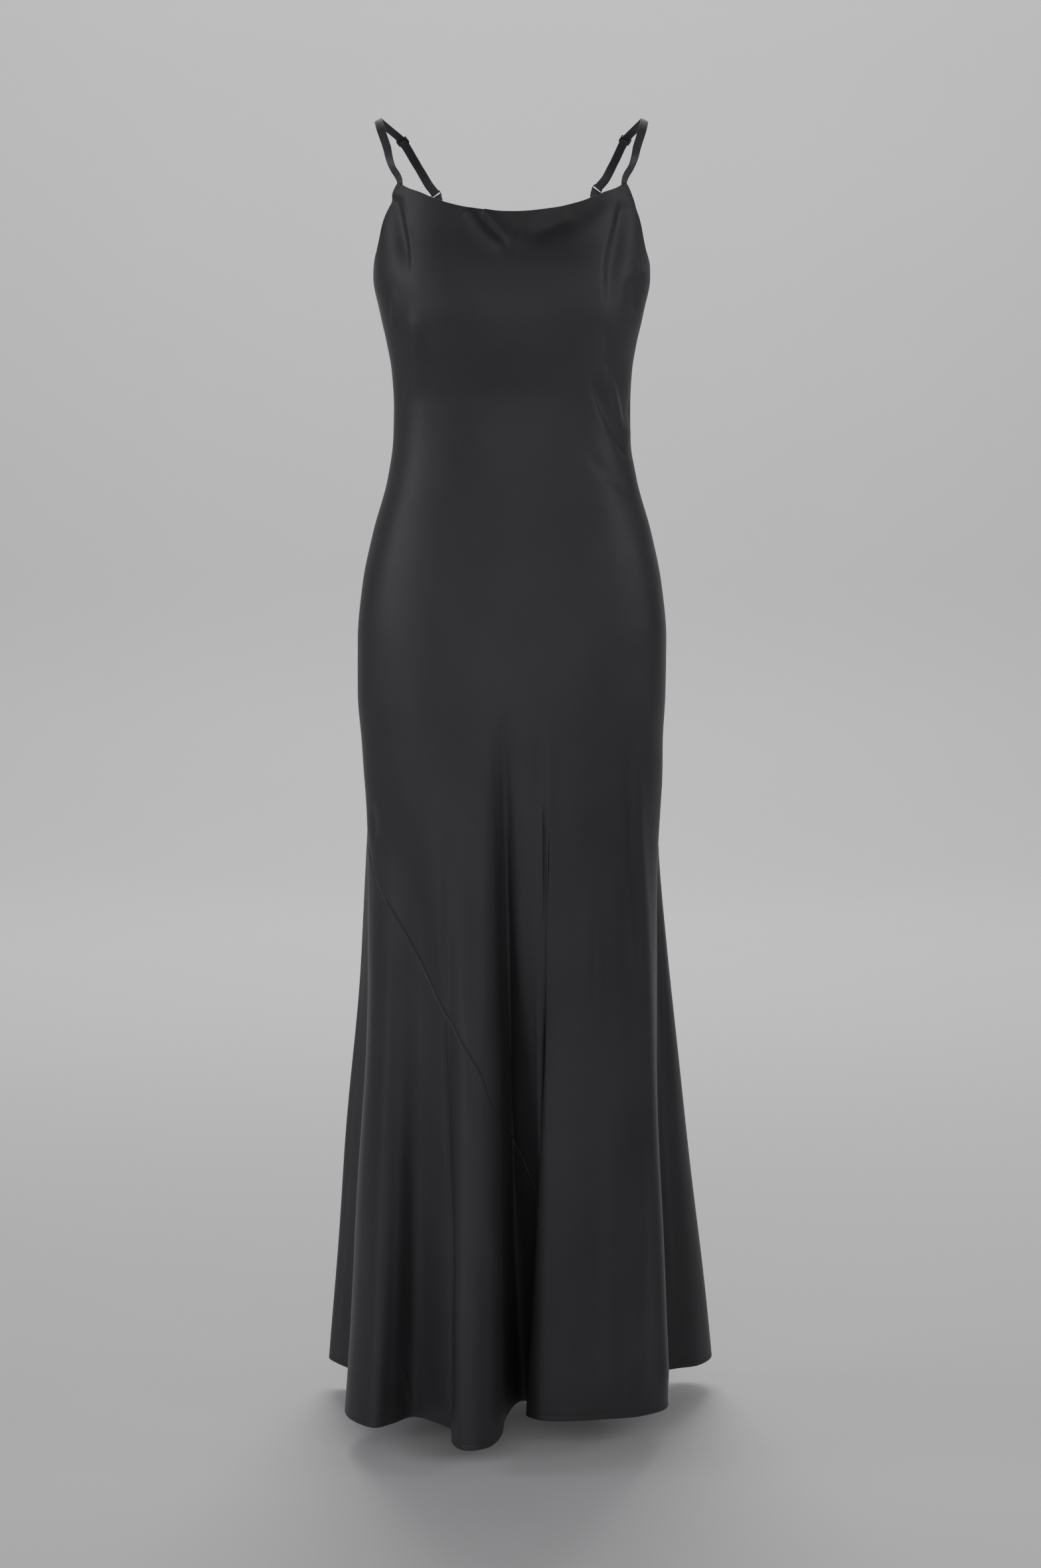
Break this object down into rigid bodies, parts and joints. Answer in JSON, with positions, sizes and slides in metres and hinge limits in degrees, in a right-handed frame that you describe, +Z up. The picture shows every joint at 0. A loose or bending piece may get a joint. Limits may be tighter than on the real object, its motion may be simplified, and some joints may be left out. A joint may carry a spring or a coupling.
{
  "type": "slip dress",
  "caption": "Full-length charcoal satin slip dress with a soft scoop neckline, thin adjustable shoulder straps, a smooth fitted body and a flared, deeply folded skirt with a diagonal inset.",
  "frame": {"origin": "midway between the tops of the two shoulder straps, where the wearer's shoulders hold the dress", "axes": "+Z up, -Y towards the front of the dress, +X towards the viewer's right"},
  "size_m": [0.4452, 0.3766, 1.3975],
  "materials": {
    "charcoal_satin": "satin",
    "strap_satin": "satin",
    "dark_slider_metal": "satin"
  },
  "bodies": {
    "root": {"front_panel": "charcoal_satin", "skirt_inset": "charcoal_satin", "back_panel": "charcoal_satin", "strap_left": "strap_satin", "strap_right": "strap_satin", "strap_tab_left": "strap_satin", "strap_tab_right": "strap_satin", "slider_left": "dark_slider_metal", "slider_right": "dark_slider_metal", "ring_left": "dark_slider_metal", "ring_right": "dark_slider_metal"}
  },
  "joints": []
}
